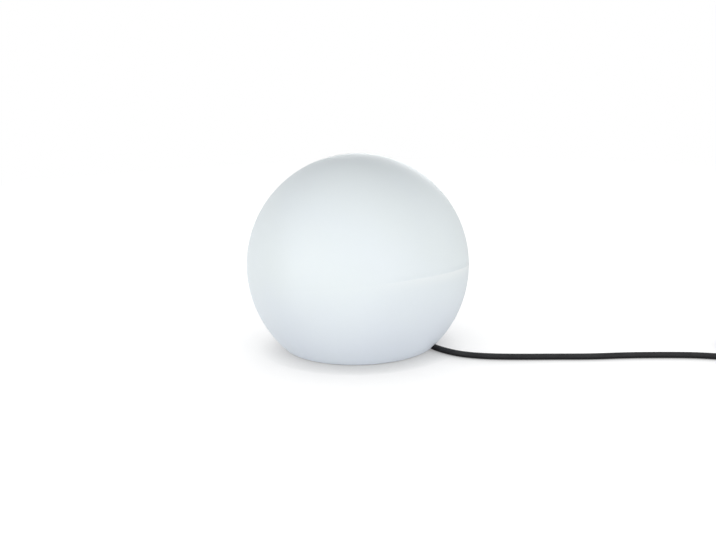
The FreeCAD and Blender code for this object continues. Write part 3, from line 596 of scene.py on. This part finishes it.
# ---------------------------------------------------------------- the ball
@dataclass
class Ball:
    """The frosted ball: flat foot, recess, inner bosses, cord groove and the tilted mould line."""

    wall: float = 4.0 * MM
    foot_lift: float = 0.8 * MM
    foot_round: float = 0.6 * MM
    recess_radius: float = 88.0 * MM
    recess_top_radius: float = 84.0 * MM
    recess_roof: float = 30.0 * MM
    neck_radius: float = 52.0 * MM
    boss_radius: float = 9.0 * MM
    boss_top: float = 46.0 * MM
    bore_radius: float = 4.0 * MM
    bore_top: float = 43.0 * MM
    boss_pitch: float = 66.0 * MM
    groove_at: Vector = field(default_factory=lambda: Vector((94.5, -40.5, 5.8)) * MM)
    groove_heading: float = -48.5
    groove_fall: float = 10.0
    groove_radius: float = 5.6 * MM
    groove_reach: float = 40.0 * MM
    saddle_reach: float = 26.0 * MM
    seam_step: float = 0.22 * MM
    seam_fade: float = 14.0 * MM
    seam_ledge: float = 0.45 * MM
    seam_shows: tuple[float, float] = (24.0 * MM, 96.0 * MM)
    rings: int = 96
    segments: int = 240

    def __post_init__(self) -> None:
        """Read the ball's radius and centre from the frame."""
        low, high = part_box("globe_shell")
        self.radius = (high.x - low.x) / 2
        self.centre = ball_centre()
        self.seam = MouldLine(self.centre)

    def outline(self) -> list[tuple[float, float]]:
        """Section of the ball, one wall thick."""
        inner = self.radius - self.wall
        rim_z = self.foot_lift + self.foot_round
        rim_angle = -degrees(asin((self.centre.z - rim_z) / self.radius))
        floor = self.foot_lift + self.wall
        floor_angle = -degrees(asin((self.centre.z - floor) / inner))
        roof_top = self.recess_roof + self.wall
        foot_radius = sqrt(self.radius ** 2 - (self.centre.z - self.foot_lift) ** 2)
        points = swung(self.centre.z, self.radius, 90.0, rim_angle, self.rings)
        points += [
            (foot_radius - 0.1 * MM, self.foot_lift + 0.2 * MM), (foot_radius - self.foot_round, self.foot_lift),
            (self.recess_radius, self.foot_lift), (self.recess_top_radius, self.recess_roof),
            (self.neck_radius, self.recess_roof), (self.neck_radius, roof_top),
            (self.recess_top_radius + self.wall, roof_top), (self.recess_radius + self.wall, floor),
        ]
        points += swung(self.centre.z, inner, floor_angle, 90.0, self.rings // 2)
        return points

    def build(self, wardrobe: "Wardrobe") -> bpy.types.Object:
        """Make the ball and put it in place of the CAD shell.

        Args:
            wardrobe: Where its finish comes from.

        Returns:
            The ball.
        """
        form = spun(self.outline(), self.segments)
        self._step_mould_line(form)
        piece = finished_mesh("globe", form)
        carve(piece, self._bosses(), "UNION")
        carve(piece, self._saddle(), "UNION")
        carve(piece, self._groove_bar(self.groove_radius, self.groove_reach), "DIFFERENCE")
        carve(piece, self._bores(), "DIFFERENCE")
        wardrobe.dress(piece, "opal_globe")
        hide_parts("globe_shell")
        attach(piece, "globe")
        return piece

    def _step_mould_line(self, form: bmesh.types.BMesh) -> None:
        """Cut loops along the mould's parting plane, then let the lower half stand a little proud."""
        skin_radius = self.radius - self.wall / 2
        stations = [(self.seam_ledge, 0.0), (0.0, 1.0), (-0.25 * self.seam_fade, 0.70),
                    (-0.55 * self.seam_fade, 0.30), (-self.seam_fade, 0.0)]
        for offset, _ in stations:
            skin = [f for f in form.faces if (f.calc_center_median() - self.centre).length > skin_radius]
            geom = set(skin)
            for face in skin:
                geom.update(face.verts)
                geom.update(face.edges)
            bmesh.ops.bisect_plane(form, geom=list(geom), dist=1e-7, plane_no=self.seam.normal,
                                   plane_co=self.seam.point + self.seam.normal * offset)
        for vert in form.verts:
            out = vert.co - self.centre
            if out.length > skin_radius and vert.co.z > self.foot_lift + self.foot_round:
                flush = along_stations(vert.co.x, [(self.seam_shows[1], 1.0), (self.seam_shows[0], 0.0)])
                lift = self.seam_step * flush * along_stations(self.seam.height(vert.co), stations)
                vert.co = self.centre + out.normalized() * (self.radius + lift)

    def _bosses(self) -> bmesh.types.BMesh:
        """The four posts on the recess's roof that hold the brass nuts."""
        return posts(self.boss_radius, self.recess_roof + 1.0 * MM, self.boss_top, self.boss_pitch)

    def _bores(self) -> bmesh.types.BMesh:
        """The four nuts' bores, open to the recess."""
        return posts(self.bore_radius, self.recess_roof - 1.0 * MM, self.bore_top, self.boss_pitch)

    def _groove_bar(self, radius: float, reach: float) -> bmesh.types.BMesh:
        """A round-topped bar along the cord's line under the foot, open to the surface below."""
        form = bmesh.new()
        bmesh.ops.create_circle(form, segments=48, radius=radius)
        half = bmesh.ops.bisect_plane(form, geom=form.verts[:] + form.edges[:], dist=1e-7, plane_co=(0, 0, 0),
                                      plane_no=(0, -1, 0), clear_outer=True)
        ends = [v for v in half["geom_cut"] if isinstance(v, bmesh.types.BMVert)]
        dropped = bmesh.ops.extrude_vert_indiv(form, verts=ends)
        bmesh.ops.translate(form, verts=dropped["verts"], vec=(0, -reach, 0))
        bmesh.ops.contextual_create(form, geom=dropped["verts"])
        face = bmesh.ops.contextual_create(form, geom=form.edges[:])["faces"]
        grown = bmesh.ops.extrude_face_region(form, geom=face)["geom"]
        far_end = [v for v in grown if isinstance(v, bmesh.types.BMVert)]
        bmesh.ops.translate(form, verts=far_end, vec=(0, 0, 2 * reach))
        bmesh.ops.recalc_face_normals(form, faces=form.faces)
        lie = Matrix(((0, 0, 1, -reach), (1, 0, 0, 0), (0, 1, 0, 0), (0, 0, 0, 1)))
        fall = Matrix.Rotation(radians(self.groove_fall), 4, "Y")
        heading = Matrix.Rotation(radians(self.groove_heading), 4, "Z")
        place = Matrix.Translation(self.groove_at) @ heading @ fall @ lie
        bmesh.ops.transform(form, matrix=place, verts=form.verts)
        return form

    def _saddle(self) -> bmesh.types.BMesh:
        """The wall over the groove, kept inside the skin and off the recess."""
        saddle = finished_mesh("saddle", self._groove_bar(self.groove_radius + self.wall, self.saddle_reach))
        inside = bmesh.new()
        bmesh.ops.create_uvsphere(inside, u_segments=96, v_segments=64, radius=self.radius - 1.0 * MM)
        bmesh.ops.translate(inside, verts=inside.verts, vec=self.centre)
        carve(saddle, inside, "INTERSECT")
        carve(saddle, post(self.recess_radius + 0.5 * MM, -5 * MM, self.recess_roof + 0.5 * MM), "DIFFERENCE")
        carve(saddle, post(self.radius, self.foot_lift + 0.02 * MM, 40 * MM), "INTERSECT")
        form = bmesh.new()
        form.from_mesh(saddle.data)
        bpy.data.objects.remove(saddle)
        return form


# ---------------------------------------------------------------- the cord
@dataclass
class Cord:
    """The rubber cord: its free stretch, its put-away coil and its end at the plug.

    The coil and the route are in millimetres, as in the CAD; the rest is in metres.
    """

    diameter: float = 8.1 * MM
    length: float = 4.996
    gland_nose: Vector = field(default_factory=lambda: _in_base(55.3, 26.4, 12.8))
    gland_straight: Vector = field(default_factory=lambda: _in_base(70.8, 26.4, 12.8))
    coil_centre: tuple[float, float] = (550.0, -80.0)
    coil_outer: float = 67.5
    coil_inner: float = 37.7
    coil_first_z: float = 5.4
    coil_layers: int = 4
    coil_layer_step: float = 8.7
    coil_start: float = -110.0
    coil_whole_turns: int = 13
    points_per_layer: int = 56
    climb_share: float = 1.0 / 14.0   # of a layer's points, on which the cord climbs half a layer
    route: tuple = (
        (84.0, -29.0, 8.0), (93.5, -39.4, 5.1), (102.5, -50.4, 4.05), (114.0, -63.4, 4.05),
        (128.5, -76.2, 4.05), (148.0, -85.6, 4.05), (174.0, -92.4, 4.05), (210.0, -96.2, 4.05),
        (252.0, -98.9, 4.05), (298.0, -102.6, 4.05), (342.0, -100.9, 4.05), (388.0, -103.2, 4.05),
        (430.0, -107.8, 4.05), (464.0, -118.0, 4.05),
    )
    tail: tuple = (
        (617.5, -52.0, 31.5), (617.1, -34.0, 28.2), (617.9, -16.0, 22.6), (617.5, -1.0, 19.5), (617.5, 10.0, 19.5),
    )
    straight_in: float = 24.0

    def coil_point(self, step: int) -> Vector:
        """One point of the coil's control polygon, in millimetres."""
        per_layer = self.points_per_layer
        total = self.coil_layers * per_layer
        turn = radians(self.coil_whole_turns * 360.0 - self.coil_start) / total
        angle = radians(self.coil_start) + step * turn
        layer = min(step // per_layer, self.coil_layers - 1)
        share = step / per_layer - layer
        inwards = layer % 2 == 0
        span = self.coil_outer - self.coil_inner
        radius = self.coil_outer - span * share if inwards else self.coil_inner + span * share
        radius /= cos(turn / 2)
        level = float(layer)
        if share < self.climb_share and layer > 0:
            level -= 0.5 - _eased(share / self.climb_share) / 2
        if share > 1 - self.climb_share and layer < self.coil_layers - 1:
            level += 0.5 - _eased((1 - share) / self.climb_share) / 2
        return Vector((
            self.coil_centre[0] + radius * cos(angle), self.coil_centre[1] + radius * sin(angle),
            self.coil_first_z + level * self.coil_layer_step,
        ))

    def points(self) -> list[Vector]:
        """The whole control polygon, from the gland's nose to the plug, in metres."""
        start = radians(self.coil_start)
        entry = Vector((self.coil_centre[0] + self.coil_outer * cos(start),
                        self.coil_centre[1] + self.coil_outer * sin(start), self.coil_first_z))
        heading = Vector((-sin(start), cos(start), 0.0))
        last_straight = self.diameter / MM
        before_coil = [entry - heading * (last_straight + self.straight_in), entry - heading * last_straight]
        total = self.coil_layers * self.points_per_layer
        coil = [self.coil_point(step) for step in range(1, total)]
        last = Vector((self.coil_centre[0] + self.coil_outer, self.coil_centre[1],
                       self.coil_first_z + (self.coil_layers - 1) * self.coil_layer_step))
        inner = [Vector(p) for p in self.route] + before_coil + coil + [last] + [Vector(p) for p in self.tail]
        return [self.gland_nose, self.gland_straight] + [p * MM for p in inner]

    def build(self, wardrobe: Wardrobe) -> bpy.types.Object:
        curve = bpy.data.curves.new("cord", "CURVE")
        curve.dimensions = "3D"
        curve.bevel_depth = self.diameter / 2
        curve.bevel_resolution = 6
        curve.resolution_u = 6
        curve.use_fill_caps = True
        spline = curve.splines.new("NURBS")
        points = self.points()
        spline.points.add(len(points) - 1)
        for place, point in zip(spline.points, points):
            place.co = (*point, 1.0)
        spline.order_u = 3
        spline.use_endpoint_u = True
        spline.use_smooth = True
        piece = bpy.data.objects.new("cord", curve)
        bpy.context.scene.collection.objects.link(piece)
        wardrobe.dress(piece, "cord_rubber")
        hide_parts("cord_lead", "cord_coil", "cord_tail")
        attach(piece, "lamp_unit")
        return piece


def _eased(share: float) -> float:
    """Smooth step from 0 to 1."""
    return share * share * (3.0 - 2.0 * share)


def _in_base(along: float, beside: float, height: float) -> Vector:
    """A point of the base's own turned frame, given in millimetres, in metres."""
    return Matrix.Rotation(BASE_TURN, 3, "Z") @ Vector((along, beside, height)) * MM


# ---------------------------------------------------------------- the studio
@dataclass
class Softbox:
    """One rectangular light, placed by its bearing from the camera's line and its height."""

    name: str
    bearing: float
    elevation: float
    distance: float
    size: tuple[float, float]
    power: float

    def hang(self, aim: Vector) -> None:
        """Put the light round a point and turn it to look there."""
        data = bpy.data.lights.new(self.name, "AREA")
        data.shape = "RECTANGLE"
        data.size, data.size_y = self.size
        data.energy = self.power
        lamp = bpy.data.objects.new(self.name, data)
        bearing, elevation = radians(self.bearing), radians(self.elevation)
        outward = Vector((sin(bearing) * cos(elevation), -cos(bearing) * cos(elevation), sin(elevation)))
        lamp.location = aim + outward * self.distance
        lamp.rotation_mode = "QUATERNION"
        lamp.rotation_quaternion = (-outward).to_track_quat("-Z", "Y")
        bpy.context.scene.collection.objects.link(lamp)


@dataclass
class Studio:
    """Floor, light and the camera at the photograph's viewing angle."""

    camera_distance: float = 1.5
    camera_elevation: float = 13.34
    camera_roll: float = -1.5
    focal_px: float = 1106.9
    aim_drop: float = 7.6 * MM
    world_level: float = 0.56
    world_overhead: float = 0.33
    world_colour: Colour = (0.97, 0.99, 1.0)
    floor_radius: float = 14.0
    floor_shade: float = 0.62
    floor_seen: float = 0.36
    floor_glow: float = 0.15
    # Share of the glow, reach and direction of each look round for things that stand over the floor.
    openness: tuple[tuple[float, float, Colour], ...] = (
        (0.55, 0.160, (0.0, 0.24, 0.970)),
        (0.24, 0.030, (0.0, 0.97, 0.24)),
    )
    floor_fade: tuple[float, float] = (1.0, 1.8)
    softboxes: tuple[Softbox, ...] = (
        Softbox("softbox_left", -60.0, 6.0, 2.4, (1.2, 1.4), 33.0),
        Softbox("softbox_right", 38.0, 6.0, 2.4, (0.9, 1.4), 33.8),
        Softbox("softbox_back", 172.0, 12.0, 2.6, (1.2, 1.0), 17.0),
    )

    def place_camera(self, target: Vector) -> None:
        """Stand the camera in front of the ball, aimed just below its centre."""
        tilt = radians(self.camera_elevation)
        ahead = Vector((0.0, cos(tilt), -sin(tilt)))
        above = Vector((0.0, sin(tilt), cos(tilt)))
        data = bpy.data.cameras.new("camera")
        data.sensor_width = 36.0
        data.lens = self.focal_px / IMAGE_WIDTH_PX * data.sensor_width
        data.clip_end = 60.0
        camera = bpy.data.objects.new("camera", data)
        camera.location = target - ahead * self.camera_distance
        level = (target - above * self.aim_drop - camera.location).to_track_quat("-Z", "Y")
        camera.rotation_mode = "QUATERNION"
        camera.rotation_quaternion = level @ Matrix.Rotation(radians(self.camera_roll), 3, "Z").to_quaternion()
        bpy.context.scene.collection.objects.link(camera)
        bpy.context.scene.camera = camera

    @staticmethod
    def seen_directly(tree: bpy.types.NodeTree) -> bpy.types.NodeSocket:
        """1 for rays from the camera or from a mirror-like or clear surface, otherwise 0."""
        path = tree.nodes.new("ShaderNodeLightPath")
        seen = path.outputs["Is Camera Ray"]
        for other in ("Is Glossy Ray", "Is Transmission Ray"):
            most = tree.nodes.new("ShaderNodeMath")
            most.operation = "MAXIMUM"
            tree.links.new(seen, most.inputs[0])
            tree.links.new(path.outputs[other], most.inputs[1])
            seen = most.outputs[0]
        return seen

    def make_world(self) -> None:
        """Light all round, dimmer overhead, which is seen as white."""
        world = bpy.data.worlds.new("studio")
        world.use_nodes = True
        tree = world.node_tree
        tree.nodes.clear()
        lit = tree.nodes.new("ShaderNodeBackground")
        direction = tree.nodes.new("ShaderNodeTexCoord")
        split = tree.nodes.new("ShaderNodeSeparateXYZ")
        rise = tree.nodes.new("ShaderNodeMapRange")
        rise.inputs["To Min"].default_value = self.world_level
        rise.inputs["To Max"].default_value = self.world_overhead
        tree.links.new(direction.outputs["Generated"], split.inputs[0])
        tree.links.new(split.outputs["Z"], rise.inputs["Value"])
        tree.links.new(rise.outputs["Result"], lit.inputs["Strength"])
        lit.inputs["Color"].default_value = (*self.world_colour, 1.0)
        white = tree.nodes.new("ShaderNodeBackground")
        white.inputs["Color"].default_value = WHITE
        mix = tree.nodes.new("ShaderNodeMixShader")
        out = tree.nodes.new("ShaderNodeOutputWorld")
        tree.links.new(self.seen_directly(tree), mix.inputs["Fac"])
        tree.links.new(lit.outputs[0], mix.inputs[1])
        tree.links.new(white.outputs[0], mix.inputs[2])
        tree.links.new(mix.outputs[0], out.inputs["Surface"])
        bpy.context.scene.world = world

    def make_floor(self) -> None:
        """Lay the pale floor, which keeps the shadow and is seen as white beyond it."""
        form = bmesh.new()
        bmesh.ops.create_circle(form, cap_ends=True, segments=96, radius=self.floor_radius)
        floor = finished_mesh("floor", form)
        n = NodeWork("pale_floor")
        seen = Wire(n, self.seen_directly(n.tree))
        grain = n.noise(n.place(), 3.0, 2.0)
        matt, faint = (
            n.add("ShaderNodeBsdfDiffuse", {}, {"Color": n.blend(grain, 3 * (shade,), 3 * (0.99 * shade,))})
            for shade in (self.floor_shade, self.floor_seen)
        )
        strength = self.floor_glow
        for share, distance, lean in self.openness:
            towards = n.add("ShaderNodeCombineXYZ", {}, dict(zip("XYZ", lean)))
            sky = n.add("ShaderNodeAmbientOcclusion", {"samples": 8}, {"Distance": distance, "Normal": towards}, "AO")
            strength = sky * share + strength
        glow = n.add("ShaderNodeEmission", {}, {"Color": WHITE, "Strength": strength})
        white = n.add("ShaderNodeEmission", {}, {"Color": WHITE, "Strength": 1.0})
        both = n.add("ShaderNodeAddShader", {}, {0: faint, 1: glow})
        reach = n.add("ShaderNodeVectorMath", {"operation": "LENGTH"}, {0: n.place()}, "Value")
        far = n.add("ShaderNodeMixShader", {}, {0: reach.clamped(*self.floor_fade), 1: both, 2: white})
        floor.data.materials.append(n.output(n.add("ShaderNodeMixShader", {}, {0: seen, 1: matt, 2: far})))

    def build(self, target: Vector) -> None:
        """Set up floor, world, lamps and camera.

        Args:
            target: The ball's centre, which the lamps and the camera look at.
        """
        self.make_world()
        self.make_floor()
        for softbox in self.softboxes:
            softbox.hang(target)
        self.place_camera(target)
        bpy.context.scene.view_settings.view_transform = "Standard"


def main() -> None:
    """Build the light's looks round the frame, part by part."""
    wardrobe = Wardrobe()
    wardrobe.dress_nodes(frame["record"])
    log.info("dressed %d CAD nodes", len(frame["nodes"]))
    ball = Ball()
    Studio().build(ball.centre)
    Cord().build(wardrobe)
    log.info("cord laid")
    globe = ball.build(wardrobe)
    log.info("ball made, %d faces", len(globe.data.polygons))


if __name__ == "__main__":
    main()
